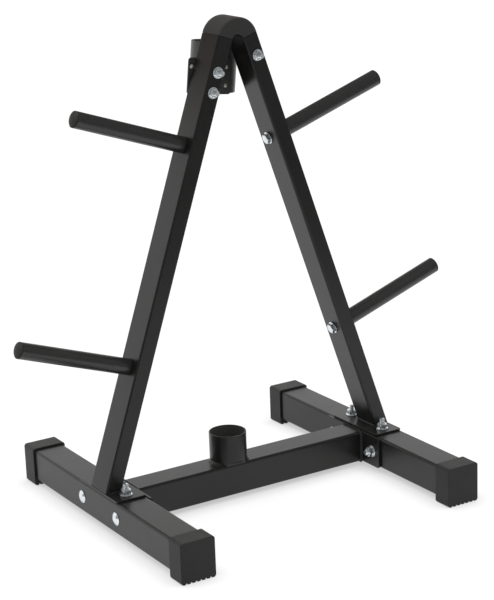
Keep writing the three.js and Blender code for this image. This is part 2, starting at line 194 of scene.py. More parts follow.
class Surface:
    """Gathers the vertices and faces of one piece."""

    def __init__(self) -> None:
        """Starts with nothing."""
        self.points: list[Array] = []
        self.faces: list[list[int]] = []
        self.count = 0

    def _add(self, points: Array) -> int:
        """Adds rows of points and gives the number of the first."""
        start = self.count
        self.points.append(points.reshape(-1, 3))
        self.count += points.reshape(-1, 3).shape[0]
        return start

    def grid(self, points: Array, wrap_u: bool = False, wrap_v: bool = False) -> "Surface":
        """Joins a grid of points with four-sided faces.

        Args:
            points: An array of rows u, columns v and coordinates.
            wrap_u: Whether the last row joins the first.
            wrap_v: Whether the last column joins the first.

        Returns:
            This surface.
        """
        rows, columns = points.shape[:2]
        index = self._add(points) + np.arange(rows * columns).reshape(rows, columns)
        index = np.vstack([index, index[:1]]) if wrap_u else index
        index = np.hstack([index, index[:, :1]]) if wrap_v else index
        quads = np.stack([index[:-1, :-1], index[1:, :-1], index[1:, 1:], index[:-1, 1:]], -1)
        self.faces.extend(quads.reshape(-1, 4).tolist())
        return self

    def stack(self, loops: Array) -> "Surface":
        """Closes a pile of loops into a solid, with a flat face on its first and last loop."""
        start = self.count
        self.grid(loops, wrap_v=True)
        rows, columns = loops.shape[:2]
        self.faces.append(list(range(start, start + columns)))
        self.faces.append(list(range(start + (rows - 1) * columns, start + rows * columns)))
        return self

    def turned(self, points: Array, segments: int, closed: bool = True) -> "Surface":
        """Turns a profile of radius and height about the Z axis.

        Args:
            points: Rows of radius and height.
            segments: Steps round the axis.
            closed: Whether the profile closes on itself, or starts and ends on the axis.

        Returns:
            This surface.
        """
        angle = np.arange(segments) * (2 * math.pi / segments)
        radius, height = points[:, :1], points[:, 1:]
        rings = coords(radius * np.cos(angle), radius * np.sin(angle), height)
        return self.grid(rings, wrap_u=closed, wrap_v=True)

    def join(self, other: "Surface", place: Place) -> "Surface":
        """Adds another surface, standing at a place of its own."""
        start = self.count
        for points in other.points:
            self._add(place.point(points))
        self.faces.extend([[start + corner for corner in face] for face in other.faces])
        return self

    def mesh(self, name: str) -> bpy.types.Mesh:
        """Builds the mesh: doubles merged, faces outward, smooth but for its sharp edges."""
        mesh = bpy.data.meshes.new(name)
        mesh.from_pydata(np.concatenate(self.points), [], self.faces)
        body = bmesh.new()
        body.from_mesh(mesh)
        bmesh.ops.remove_doubles(body, verts=body.verts, dist=MERGE_DISTANCE)
        bmesh.ops.dissolve_degenerate(body, edges=body.edges, dist=LEAST_EDGE)
        bmesh.ops.recalc_face_normals(body, faces=body.faces)
        body.to_mesh(mesh)
        body.free()
        mesh.shade_smooth()
        mesh.set_sharp_from_angle(angle=SMOOTH_BELOW)
        mesh.update()
        return mesh


def into_scene(name: str, data: bpy.types.ID) -> bpy.types.Object:
    """Makes an object of a mesh, lamp or camera and links it to the scene."""
    thing = bpy.data.objects.new(name, data)
    bpy.context.scene.collection.objects.link(thing)
    return thing


def add_piece(name: str, surface: Surface, finish: "Finish", node: str | None = None,
              place: Place | None = None) -> bpy.types.Object:
    """Puts one finished piece into the scene.

    Args:
        name: Name of the piece.
        surface: Its faces.
        finish: What it is finished with.
        node: The solid that it stands for, if there is one.
        place: Where the surface stands, or None where it is in the frame of the solids.

    Returns:
        The new object.
    """
    standing = surface if place is None else Surface().join(surface, place)
    piece = into_scene(name, standing.mesh(name))
    piece.data.materials.append(finish.material())
    even = piece.modifiers.new("even_normals", "WEIGHTED_NORMAL")
    even.keep_sharp = True
    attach(piece, BODY)
    if node:
        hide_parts(node)
    LOG.info("%s: %d faces for %s", name, len(piece.data.polygons), node or "no solid")
    return piece


# Materials


class Graph:
    """Lays nodes in a node tree and joins them."""

    def __init__(self, tree: bpy.types.NodeTree) -> None:
        """Keeps the tree that it writes to."""
        self.tree = tree

    @classmethod
    def blank(cls, owner: bpy.types.Material | bpy.types.World) -> "Graph":
        """Empties the node tree of a material or a world, and gives a graph that writes to it."""
        owner.use_nodes = True
        owner.node_tree.nodes.clear()
        return cls(owner.node_tree)

    def add(self, kind: str, inputs: dict | None = None, **settings: object) -> bpy.types.Node:
        """Adds one node.

        Args:
            kind: The node's type, without its ShaderNode prefix where it has that.
            inputs: Values or output sockets by input name or number.
            settings: Properties of the node.

        Returns:
            The new node.
        """
        node = self.tree.nodes.new(kind if kind.startswith("Node") else "ShaderNode" + kind)
        for key, value in settings.items():
            setattr(node, key, value)
        for key, value in (inputs or {}).items():
            if isinstance(value, Socket):
                self.tree.links.new(value, node.inputs[key])
            else:
                node.inputs[key].default_value = value
        return node

    def math(self, operation: str, *values: object) -> Socket:
        """Adds a Math node and gives its result."""
        return self.add("Math", dict(enumerate(values)), operation=operation).outputs[0]

    def blend(self, share: object, first: object, second: object) -> Socket:
        """Mixes two colours and gives the result."""
        # Sockets 6 and 7 are the node's two colours, and output 2 is the mixed one
        inputs = {0: share, 6: first, 7: second}
        return self.add("Mix", inputs, data_type="RGBA").outputs[2]

    def noise(self, where: object, scale: object, detail: float, rough: float = 0.5) -> Socket:
        """Adds a noise texture and gives its grey value."""
        inputs = {"Vector": where, "Scale": scale, "Detail": detail, "Roughness": rough}
        return self.add("TexNoise", inputs).outputs["Fac"]


class Effects:
    """Node groups that several finishes share, each built once, with floats for inputs and outputs."""

    @staticmethod
    def group(name: str, inputs: Sequence[str], outputs: Sequence[str]) -> tuple[Graph, dict, bpy.types.Node]:
        """Starts a shader node group.

        Args:
            name: Name of the group.
            inputs: Names of its inputs.
            outputs: Names of its outputs.

        Returns:
            The graph, its inputs by name, and its output node.
        """
        tree = bpy.data.node_groups.new(name, "ShaderNodeTree")
        for way, names in (("INPUT", inputs), ("OUTPUT", outputs)):
            for key in names:
                tree.interface.new_socket(key, in_out=way, socket_type="NodeSocketFloat")
        graph = Graph(tree)
        source = graph.add("NodeGroupInput").outputs
        return graph, {key: source[key] for key in inputs}, graph.add("NodeGroupOutput")

    @classmethod
    @cache
    def grain(cls) -> bpy.types.NodeTree:
        """Gives the group of a fine skin: two sizes of noise as a height and a change of roughness."""
        names = ("Fine", "Broad", "Share", "Roughness", "Spread")
        graph, source, sink = cls.group("grain", names, ("Height", "Roughness"))
        where = graph.add("TexCoord").outputs["Object"]
        fine = graph.noise(where, source["Fine"], detail=2.0)
        broad = graph.noise(where, source["Broad"], detail=3.0)
        rest = graph.math("SUBTRACT", 1.0, source["Share"])
        height = graph.math("ADD", graph.math("MULTIPLY", fine, source["Share"]),
                            graph.math("MULTIPLY", broad, rest))
        patch = graph.noise(where, scale=34.0, detail=3.0, rough=0.6)
        centred = graph.math("SUBTRACT", graph.math("ADD", patch, fine), 1.0)
        change = graph.math("MULTIPLY", centred, source["Spread"])
        graph.tree.links.new(height, sink.inputs["Height"])
        graph.tree.links.new(graph.math("ADD", source["Roughness"], change), sink.inputs["Roughness"])
        return graph.tree

    @classmethod
    @cache
    def mottle(cls) -> bpy.types.NodeTree:
        """Gives the group of slow tone changes: a soft noise as a mask from 0 to 1."""
        graph, source, sink = cls.group("mottle", ("Scale", "Contrast"), ("Mask",))
        where = graph.add("TexCoord").outputs["Object"]
        slow = graph.noise(where, source["Scale"], detail=4.0, rough=0.55)
        centred = graph.math("MULTIPLY", graph.math("SUBTRACT", slow, 0.5), source["Contrast"])
        mask = graph.add("Clamp", {0: graph.math("ADD", centred, 0.5)}).outputs[0]
        graph.tree.links.new(mask, sink.inputs["Mask"])
        return graph.tree


@dataclass(frozen=True)
class Finish:
    """One surface finish: two near tones, a gloss, and a grain that is felt in bump and roughness."""

    name: str
    slot: Slot
    dark: Colour
    light: Colour
    roughness: float
    spread: float
    metallic: float = 0.0
    specular: float = 0.5
    tone_scale: float = 14.0
    tone_contrast: float = 1.6
    fine: float = 1500.0
    broad: float = 260.0
    fine_share: float = 0.35
    bump: float = 0.15
    bump_depth: float = 0.0002

    @cache
    def material(self) -> bpy.types.Material:
        """Builds the material once and gives it."""
        material = bpy.data.materials.new(self.name)
        graph = Graph.blank(material)
        tone = graph.add("Group", {"Scale": self.tone_scale, "Contrast": self.tone_contrast},
                         node_tree=Effects.mottle())
        values = {"Fine": self.fine, "Broad": self.broad, "Share": self.fine_share,
                  "Roughness": self.roughness, "Spread": self.spread}
        grain = graph.add("Group", values, node_tree=Effects.grain())
        bump = graph.add("Bump", {"Strength": self.bump, "Distance": self.bump_depth,
                                  "Height": grain.outputs["Height"]})
        shader = graph.add("BsdfPrincipled", {
            "Base Color": graph.blend(tone.outputs["Mask"], (*self.dark, 1.0), (*self.light, 1.0)),
            "Roughness": grain.outputs["Roughness"],
            "Normal": bump.outputs["Normal"],
            "Metallic": self.metallic,
            "Specular IOR Level": self.specular,
        })
        graph.add("OutputMaterial", {"Surface": shader.outputs[0]})
        return material


POWDER_COAT = Finish("powder_coat_black", Slot.FRAME, (0.011, 0.0105, 0.010), (0.018, 0.0172, 0.0165),
                     roughness=0.31, spread=0.08, specular=0.38)
# Painted highlight: the pegs' coat is a lighter copy of the frame's coat, its lighter tone standing in for
# the sheen that light lays along them.
PEG_COAT_PAINTED_SHEEN = replace(POWDER_COAT, name="powder_coat_pegs_painted_sheen", dark=(0.019, 0.0185, 0.018),
                   light=(0.029, 0.028, 0.027), roughness=0.34, specular=0.62)
# Painted light: the sleeve plate's coat is a lighter copy of the frame's coat, lifting a plate that sits in
# the leg's shade.
PLATE_COAT_PAINTED_LIGHT = replace(POWDER_COAT, name="powder_coat_plate_painted_light", dark=(0.048, 0.047, 0.046),
                     light=(0.082, 0.080, 0.078), roughness=0.36, spread=0.12, specular=0.50, bump=0.6)
# Painted light: a lighter, rougher copy of the frame's coat for the inside of the bar cup, standing in for
# light in that hollow.
CUP_INSIDE_PAINTED_LIGHT = replace(POWDER_COAT, name="powder_coat_cup_inside_painted_light", dark=(0.060, 0.058, 0.056),
                    light=(0.090, 0.087, 0.084), roughness=0.48, spread=0.10, specular=0.40, bump=0.4)
SLEEVE_PAINT = Finish("paint_dark_grey", Slot.SLEEVE, (0.058, 0.057, 0.055), (0.083, 0.082, 0.080),
                      roughness=0.34, spread=0.10, specular=0.45)
MOULDED = Finish("moulded_plastic_black", Slot.MOULDING, (0.024, 0.0235, 0.023), (0.036, 0.0355, 0.035),
                 roughness=0.55, spread=0.10, specular=0.32, fine=2200.0, broad=900.0, fine_share=0.6,
                 bump=0.3, bump_depth=0.0001)
MOULDED_GREY = replace(MOULDED, name="moulded_plastic_grey", dark=(0.043, 0.042, 0.041),
                       light=(0.060, 0.058, 0.056), roughness=0.58, specular=0.18)
MOULDED_ARCH = replace(MOULDED, name="moulded_plastic_sheen", dark=(0.054, 0.053, 0.052),
                       light=(0.069, 0.068, 0.067), roughness=0.36, spread=0.08, specular=0.20)
ZINC = Finish("zinc_plating", Slot.ZINC, (0.70, 0.745, 0.775), (0.89, 0.93, 0.95), roughness=0.19,
              spread=0.14, metallic=0.88, tone_scale=90.0, tone_contrast=2.2, fine=3200.0, broad=600.0,
              bump=0.12, bump_depth=0.0001)
RIVET = Finish("rivet_aluminium", Slot.RIVET, (0.66, 0.62, 0.57), (0.82, 0.78, 0.72), roughness=0.42,
               spread=0.12, metallic=0.40, tone_scale=120.0, fine=3000.0, broad=700.0, bump=0.15,
               bump_depth=0.0001)


# Lengths that more than one sub-assembly needs


@dataclass
class Plan:
    """Lengths of the whole tree, the same as those of the solids."""

    seat_gap: float = 0.0003
    tube_size: float = 0.050
    tube_wall: float = 0.002
    tube_corner: float = 0.004
    cut_edge: float = 0.0004
    rail_length: float = 0.491
    foot_spacing: float = 0.466
    cross_drop: float = 0.0012
    cap_sole: float = 0.0087
    flange_thickness: float = 0.004
    base_thickness: float = 0.003
    plate_edge: float = 0.0175
    plate_corner: float = 0.004
    plate_rounding: float = 0.0005
    height: float = 0.740
    leg_thickness: float = 0.025
    leg_width: float = 0.050
    leg_wall: float = 0.002
    leg_corner: float = 0.003
    leg_inset: float = 0.0005
    arch_radius: float = 0.034
    bolt_radius: float = 0.004
    bolt_from_leg: float = 0.017
    crossing_gap: float = 0.004
    washer_radius: float = 0.0095
    top_washer_radius: float = 0.0085
    washer_thickness: float = 0.0017
    nut_height: float = 0.0078

    def __post_init__(self) -> None:
        """Works out the lengths that follow from these."""
        # Heights of the foot tubes' lower side and middle, the base plates' upper side and the legs' ends
        self.rail_bottom: float = self.cap_sole + self.seat_gap
        self.rail_middle: float = self.rail_bottom + self.tube_size / 2
        self.base_top: float = self.rail_bottom + self.tube_size + self.base_thickness
        self.foot_z: float = self.base_top + self.seat_gap
        # Distances from the middle to the feet, the flanges' inner faces and the legs' outer faces
        self.rail_x: float = self.foot_spacing / 2
        self.flange_x: float = self.rail_x - self.tube_size / 2 - self.flange_thickness
        self.foot_x: float = self.rail_x + self.tube_size / 2 - self.leg_inset
        # Distances from the middle to the bolts of the base plates and of the flanges
        self.base_bolt_y: float = self.leg_width / 2 + self.bolt_from_leg
        self.flange_bolt_y: float = self.base_bolt_y + 2 * self.bolt_radius + self.crossing_gap
        # The outer face of a leg leans until it touches the arch, whose centre stands at arch_z
        self.arch_z: float = self.height - self.arch_radius
        rise = self.arch_z - self.foot_z
        reach = math.hypot(self.foot_x, rise)
        self.lean: float = math.acos(self.arch_radius / reach) - math.atan2(rise, self.foot_x)
        self.leg_length: float = math.sqrt(reach**2 - self.arch_radius**2)

    def leg_place(self, sign: int) -> Place:
        """Gives the frame at a leg's outer foot, with Z up the leg and X square to its outer face."""
        return Place((sign * self.foot_x, 0.0, self.foot_z), turn("y", -sign * self.lean))


PLAN = Plan()
SIDES = (("left", -1), ("right", 1))
ENDS = (("front", -1), ("rear", 1))


# Fasteners: the bearing face of a head or washer is z = 0


@dataclass(frozen=True)
class Hardware:
    """Bolts, nuts and washers of one thread size."""

    head_across: float = 0.014
    head_height: float = 0.0053
    nut_across: float = 0.0134
    nut_lift: float = 0.00002
    hole_play: float = 0.00025
    thread_play: float = 0.00005
    washer_edge: float = 0.0003
    hole_edge: float = 0.0001
    collar_share: float = 0.50
    collar_overlap: float = 0.12
    collar_width: float = 0.74
    collar_height: float = 0.86
    collar_edge: float = 0.0016
    collar_bore_edge: float = 0.0005
    dome_radius: float = 0.010
    dome_height: float = 0.0041
    dome_share: float = 0.975
    dome_rows: int = 18
    rim_height: float = 0.0009
    rim_edges: tuple[float, float] = (0.00035, 0.0002)
    rim_inner_share: float = 0.7
    tip_chamfer: float = 0.0008
    thread_pitch: float = 0.00125
    thread_depth: float = 0.0006
    thread_rows: int = 8
    crest_width: float = 0.15
    corner_cut: float = 0.00018
    crown_share: float = 0.465
    crown_angle: float = math.pi / 6
    foot_inset: float = 0.0002
    foot_rise: float = 0.35
    flat_edge: float = 0.00022
    bore_chamfer: float = 0.0009
    facets: int = 96
    shank_segments: int = 48
    round_segments: int = 72

    def bolt(self, length: float, thread: float, domed: bool) -> Surface:
        """Gives a bolt along Z with its head below z = 0 and the last stretch of its shank threaded.

        In the thread the radius falls by a triangle wave of height / pitch minus the share of a turn, so
        that the groove climbs as a helix, and a cone of 45 degrees trims the tip.

        Args:
            length: Length under the head.
            thread: Length of the thread.
            domed: Whether the head is a shallow dome, or else a hexagon.

        Returns:
            The bolt.
        """
        surface, start, segments = Surface(), length - thread, self.shank_segments
        shank = np.array([[PLAN.bolt_radius, start], [0.0, start]])
        if domed:
            above = np.concatenate([self.dome(), [[PLAN.bolt_radius, 0.0]]])
            surface.turned(np.concatenate([above, shank]), self.round_segments, closed=False)
        else:
            head = Surface()
            self.hexagon(head, self.head_across, 0.0, self.head_height, 0.0)
            surface.join(head, Place(axes=turn("x", math.pi)))
            above = coords(np.array([0.0, PLAN.bolt_radius]), -self.head_height / 2)
            surface.turned(np.concatenate([above, shank]), segments, closed=False)
        rows = int((length - start) / self.thread_pitch * self.thread_rows) + 2
        height = np.linspace(start, length, rows)[:, None]
        angle = (np.arange(segments) * (2 * math.pi / segments))[None]
        phase = (height / self.thread_pitch - angle / (2 * math.pi)) % 1.0
        bottom = 1 + self.crest_width
        groove = np.clip(bottom - 2 * bottom * np.abs(phase - 0.5), 0, 1)
        runout = np.clip((height - start) / self.thread_pitch, 0, 1)
        radius = PLAN.bolt_radius - self.thread_depth * groove * runout
        radius = np.minimum(radius, PLAN.bolt_radius - self.tip_chamfer + (length - height))
        return surface.stack(coords(radius * np.cos(angle), radius * np.sin(angle), height))

    def dome(self) -> Array:
        """Gives the profile of a shallow dome head, from its pole round its rim to the bearing face."""
        out, fall = cap_arc(self.dome_radius, self.dome_height, self.dome_rows, self.dome_share)
        upper, lower = self.rim_edges
        inner = self.dome_radius * self.rim_inner_share
        rim = profile([(self.dome_radius, -self.rim_height, upper), (self.dome_radius, 0.0, lower),
                       (inner, 0.0, 0.0), (inner, -self.rim_height, 0.0)], steps=3)[:-2]
        return np.concatenate([coords(out, fall - self.dome_height), rim])

    def hexagon(self, surface: Surface, across: float, base: float, height: float, bore: float) -> None:
        """Adds a hexagon whose far end is turned to a flat cone, with a bored or a solid middle.

        At each angle the side stands at half the width across flats / cos(angle from the flat's middle),
        cut a little at the corners. Beyond the crown the top falls by 30 degrees to that side.

        Args:
            surface: Where the faces go.
            across: Width across the flats.
            base: Height of the bearing face.
            height: Height of the far face.
            bore: Radius of the bore, or 0.
        """
        angle = np.arange(self.facets) * (2 * math.pi / self.facets)
        off = (angle + math.pi / 6) % (math.pi / 3) - math.pi / 6
        side = np.minimum(across / 2 / np.cos(off), across / 2 / math.cos(math.pi / 6) - self.corner_cut)
        crown = np.full_like(side, self.crown_share * across)
        top = height - (side - crown) * math.tan(self.crown_angle)
        low = base + (side - across / 2) * self.foot_rise
        soft, inset = self.flat_edge, self.foot_inset
        rows = [(bore, base), (across / 2 - inset, base), (side - inset, low), (side, low + soft),
                (side, top - soft), (side - soft, top + soft * 0.5), (crown, height)]
        if bore:
            rows += [(bore + self.bore_chamfer, height), (bore, height - self.bore_chamfer)]
        else:
            rows += [(bore, height)]
        ring = [coords(r * np.cos(angle), r * np.sin(angle), z) for r, z in rows]
        surface.grid(np.stack(ring), wrap_u=bool(bore), wrap_v=True)

    def washer(self, outer: float) -> Surface:
        """Gives a flat washer of the given outer radius with softened edges."""
        inner, top, soft = PLAN.bolt_radius + self.hole_play, PLAN.washer_thickness, self.washer_edge
        corners = [(inner, 0, self.hole_edge), (outer, 0, soft), (outer, top, soft), (inner, top, soft)]
        return Surface().turned(profile(corners, steps=3), self.round_segments)

    def nut_on_washer(self, outer: float, locking: bool) -> Surface:
        """Gives a washer with a nut on it; a lock nut has a round collar on a lower hexagon.

        Args:
            outer: Radius of the washer.
            locking: Whether the nut is a lock nut.

        Returns:
            Both along Z, with the bearing face of the washer at z = 0.
        """
        surface, base, bore = self.washer(outer), PLAN.washer_thickness, PLAN.bolt_radius + self.thread_play
        share = self.collar_share if locking else 1.0
        self.hexagon(surface, self.nut_across, base + self.nut_lift, base + share * PLAN.nut_height, bore)
        if locking:
            collar, top = self.collar_width * self.nut_across / 2, base + self.collar_height * PLAN.nut_height
            low = base + (self.collar_share - self.collar_overlap) * PLAN.nut_height
            corners = [(bore, low, 0.0), (collar, low, 0.0), (collar, top, self.collar_edge),
                       (bore, top, self.collar_bore_edge)]
            surface.turned(profile(corners, steps=5), self.round_segments)
        return surface


HARDWARE = Hardware()


@dataclass(frozen=True)
class Clamp:
    """A bolt with its nut and washer: a hexagon head with a lock nut, or a domed head with a plain nut."""

    kind: str
    solid: str
    tip: float
    thread: float
    locking: bool = False

    def build(self, label: str, head: Place, grip: float) -> None:
        """Makes the bolt and its nut.

        Args:
            label: End of their names.
            head: Frame at the bearing face of the head, with Z along the bolt.
            grip: Distance from there to the washer.
        """
        length = grip + PLAN.washer_thickness + PLAN.nut_height + self.tip
        bolt = HARDWARE.bolt(length, self.thread, domed=not self.locking)
        washer = PLAN.top_washer_radius if self.locking else PLAN.washer_radius
        nut = HARDWARE.nut_on_washer(washer, self.locking)
        add_piece(f"{self.kind}_bolt_{label}", bolt, ZINC, f"{self.solid}_bolt_{label}", head)
        add_piece(f"{self.kind}_nut_{label}", nut, ZINC, f"{self.solid}_nut_{label}",
                  head.inner((0.0, 0.0, grip)))


# Welds


@dataclass(frozen=True)
class Weld:
    """A bead along a line in the corner of two faces."""

    size: float
    bulge: float
    pitch: float = 0.0024
    ripple: float = 0.07
    ripple_lag: float = 2.2
    bulge_ripple: float = 0.8
    points_per_ripple: int = 7
    swell: float = 0.035
    swells: tuple[tuple[int, float], ...] = ((3, 0.7), (7, 2.1))
    end_stretch: float = 1.5
    end_size: float = 0.02
    sink: float = 0.0004
    buried_share: float = 0.9
    rows: int = 9

    def bead(self, line: Array, out: Array, up: Array, closed: bool) -> Surface:
        """Carries the bead's section along a line.

        The section runs from a point on the lower face to a point on the wall, bowed outward by a sine.
        Its size swells and shrinks by a sine of the length along the line, whose phase lags at the bead's
        two edges, as the ripples of a hand-laid weld do. An open bead shrinks towards its ends by a root.

        Args:
            line: Points of the corner line, in order.
            out: Directions along the lower face, one for each point.
            up: Directions along the wall, one for each point or one for all.
            closed: Whether the line closes on itself.

        Returns:
            The closed surface of the bead.
        """
        parts = [np.vstack([part, part[:1]]) if closed else part
                 for part in np.broadcast_arrays(line, out, up)]
        along = np.concatenate([[0.0], np.cumsum(np.linalg.norm(np.diff(parts[0], axis=0), axis=1))])
        total = along[-1]
        place = np.linspace(0, total, int(total / self.pitch * self.points_per_ripple), endpoint=not closed)
        line, out, up = (np.stack([np.interp(place, along, column) for column in part.T], -1)
                         for part in parts)
        out, up = unit(out), unit(up)
        share = np.linspace(0, 1, self.rows)[:, None]
        phase = (place / total)[None] * 2 * math.pi
        wave = np.sin(max(round(total / self.pitch), 1) * phase - self.ripple_lag * np.abs(share - 0.5))
        slow = sum(np.sin(count * phase + shift) for count, shift in self.swells)
        near = np.minimum(place, total - place) / (self.end_stretch * self.size)
        ends = np.ones_like(place) if closed else np.clip(near, self.end_size, 1) ** 0.5
        size = self.size * (1 + self.ripple * wave + self.swell * slow) * ends
        bow = self.bulge * np.sin(math.pi * share) * (1 + self.bulge_ripple * wave) * ends
        face = line[None] + out[None] * (size * (1 - share))[..., None] + up[None] * (size * share)[..., None]
        face = face + unit(out + up)[None] * bow[..., None]
        reach = (self.size * self.buried_share * ends)[:, None]
        buried = [line + up * reach - out * self.sink, line - (out + up) * self.sink,
                  line + out * reach - up * self.sink]
        section = np.concatenate([face, np.stack(buried)])
        if closed:
            return Surface().grid(section, wrap_u=True, wrap_v=True)
        return Surface().stack(section.transpose(1, 0, 2))


# Tubes and plates


def loops(section: Section, insets: Array, heights: Array) -> Array:
    """Piles copies of a section along Z, each drawn in by its inset.

    Args:
        section: Points and outward normals.
        insets: How far each copy is drawn in along the normals.
        heights: Height of each copy.

    Returns:
        An array of copies, points and coordinates.
    """
    points, normals = section
    flat = points[None] - normals[None] * insets[:, None, None]
    return coords(flat[..., 0], flat[..., 1], heights[:, None])


def slab(section: Section, bottom: float, top: float) -> Surface:
    """Gives a solid bar of a section from bottom to top, with its end edges rounded."""
    inset, height = edge_arc(PLAN.plate_rounding)
    insets = np.concatenate([inset, inset[::-1]])
    heights = np.concatenate([bottom + height, top - height[::-1]])
    return Surface().stack(loops(section, insets, heights))


def pipe(outer: Section, inner: Section, bottom: float, top: float) -> Surface:
    """Gives an open tube between two sections, with the edges of its mouths rounded."""
    inset, height = edge_arc(PLAN.cut_edge, steps=3)
    outside = loops(outer, np.concatenate([inset, inset[::-1]]),
                    np.concatenate([bottom + height, top - height[::-1]]))
    inside = loops(inner, np.concatenate([-inset, -inset[::-1]]),
                   np.concatenate([top - height, bottom + height[::-1]]))
    return Surface().grid(np.concatenate([outside, inside]), wrap_u=True, wrap_v=True)


def tube_sections(width: float, depth: float, wall: float, corner: float) -> tuple[Section, Section]:
    """Gives the outer and the inner section of a rectangular tube with round corners."""
    return (rounded_box(width, depth, corner),
            rounded_box(width - 2 * wall, depth - 2 * wall, corner - wall))


def square_tube(length: float) -> Surface:
    """Gives a stretch of the feet's square tube along Z, centred on the origin."""
    outer, inner = tube_sections(PLAN.tube_size, PLAN.tube_size, PLAN.tube_wall, PLAN.tube_corner)
    return pipe(outer, inner, -length / 2, length / 2)


def bolted_plate(bolt_y: float, bottom: float, top: float) -> Surface:
    """Gives a plate as wide as the square tube that ends beyond bolts at plus and minus y."""
    section = rounded_box(PLAN.tube_size, 2 * (bolt_y + PLAN.plate_edge), PLAN.plate_corner)
    return slab(section, bottom, top)


# Sub-assemblies


@dataclass
class FootCap:
    """A moulded sleeve with a ribbed sole, closed at its outer end."""

    wall: float = 0.0028
    end: float = 0.0034
    length: float = 0.0325
    corner: float = 0.0044
    grooves: int = 6
    groove_width: float = 0.003
    groove_depth: float = 0.0021
    groove_pitch: float = 0.0079
    groove_lip: float = 0.0009
    groove_root: float = 0.0005
    draft: float = 0.0003
    edge: float = 0.0008
    mouth_edge: float = 0.0004
    mouth_steps: int = 2

    def section(self) -> Section:
        """Gives the outline across the foot: a box with round corners and grooves in its sole."""
        half = PLAN.tube_size / 2 + PLAN.seat_gap + self.wall
        top, bottom = half, -PLAN.rail_middle
        deep = bottom + self.groove_depth
        corners: list[tuple[float, float, float]] = []
        for index in range(self.grooves):
            middle = (index - (self.grooves - 1) / 2) * self.groove_pitch
            wide = self.groove_width / 2
            corners += [(middle - wide, bottom, self.groove_lip),
                        (middle - wide + self.draft, deep, self.groove_root),
                        (middle + wide - self.draft, deep, self.groove_root),
                        (middle + wide, bottom, self.groove_lip)]
        corners += [(half, bottom, self.corner), (half, top, self.corner), (-half, top, self.corner),
                    (-half, bottom, self.corner)]
        return filleted(corners, steps=5)

    def build(self, name: str, side: int, end: int) -> None:
        """Makes one cap; each point of its mouth runs to the nearest point of the pocket.

        Args:
            name: Side and end of the cap.
            side: -1 on the left foot, 1 on the right.
            end: -1 in front, 1 at the rear.
        """
        points, normals = self.section()
        inset, run = edge_arc(self.edge)
        mouth, _ = edge_arc(self.mouth_edge, self.mouth_steps)
        depth = np.linspace(0, self.mouth_edge, self.mouth_steps + 1)
        depths = np.concatenate([depth, self.length - run[::-1]])
        outside = loops((points, normals), np.concatenate([mouth, inset[::-1]]), depths)
        half, radius = PLAN.tube_size / 2 + PLAN.seat_gap, PLAN.tube_corner
        core = np.clip(points, -(half - radius), half - radius)
        pocket = core + unit(points - core) * radius
        inside = loops((pocket, normals), np.zeros(2), np.array([self.length - self.end, 0.0]))
        surface = Surface().stack(np.concatenate([inside, outside]))
        outer_y = PLAN.rail_length / 2 + PLAN.seat_gap + self.end
        axes = np.array([[1.0, 0, 0], [0, 0, end], [0, 1.0, 0]])
        place = Place((side * PLAN.rail_x, end * (outer_y - self.length), PLAN.rail_middle), axes)
        add_piece(f"end_cap_{name}", surface, MOULDED, f"foot_cap_{name}", place)


@dataclass
class Foot:
    """One foot: its tube, two caps, the base plate and the bolts through them."""

    name: str
    side: int
    clamp: Clamp = Clamp("upright", "base", tip=0.008, thread=0.022)
    cap: FootCap = field(default_factory=FootCap)

    def build(self) -> None:
        """Makes the foot's pieces."""
        x = self.side * PLAN.rail_x
        middle = Place((x, 0.0, PLAN.rail_middle), turn("x", RIGHT_ANGLE))
        tube = square_tube(PLAN.rail_length)
        add_piece(f"foot_tube_{self.name}", tube, POWDER_COAT, f"foot_rail_{self.name}", middle)
        for end, sign in ENDS:
            self.cap.build(f"{self.name}_{end}", self.side, sign)
            self.clamp.build(f"{self.name}_{end}", Place((x, sign * PLAN.base_bolt_y, PLAN.rail_bottom)),
                             PLAN.base_top - PLAN.rail_bottom)
        plate = bolted_plate(PLAN.base_bolt_y, PLAN.rail_bottom + PLAN.tube_size, PLAN.base_top)
        add_piece(f"base_steel_{self.name}", plate, POWDER_COAT, f"base_plate_{self.name}",
                  Place((x, 0, 0)))


